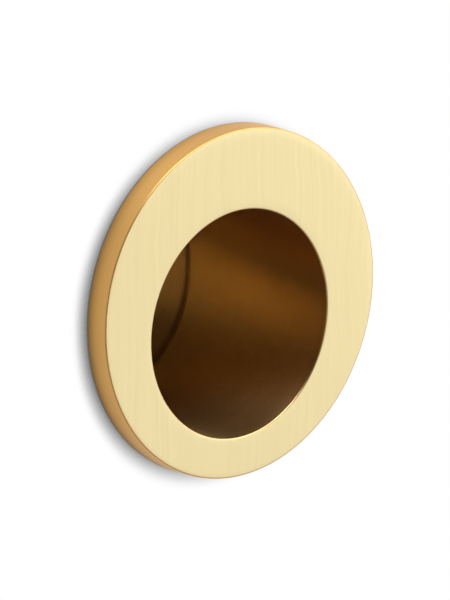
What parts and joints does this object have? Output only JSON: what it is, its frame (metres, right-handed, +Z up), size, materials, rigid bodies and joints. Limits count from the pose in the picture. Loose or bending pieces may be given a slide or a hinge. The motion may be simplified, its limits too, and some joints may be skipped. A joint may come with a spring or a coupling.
{
  "type": "pocket door edge pull",
  "caption": "Round flush pull for a pocket door's edge: a thick brushed brass flange with an off-centre finger recess and a plain round body that fills the hole in the door.",
  "frame": {"origin": "on the body's axis, in the plane of the flange's back, which seats on the door", "axes": "+Y along the body's axis into the door, so the face looks towards -Y; +Z up, towards the wide part of the rim; +X to the right of someone looking at the face"},
  "size_m": [0.03, 0.019, 0.03],
  "materials": {
    "brushed_brass": "brushed, straight grain up and down the face, satin inside the recess"
  },
  "bodies": {
    "root": {"flush_pull": "brushed_brass"}
  },
  "joints": []
}
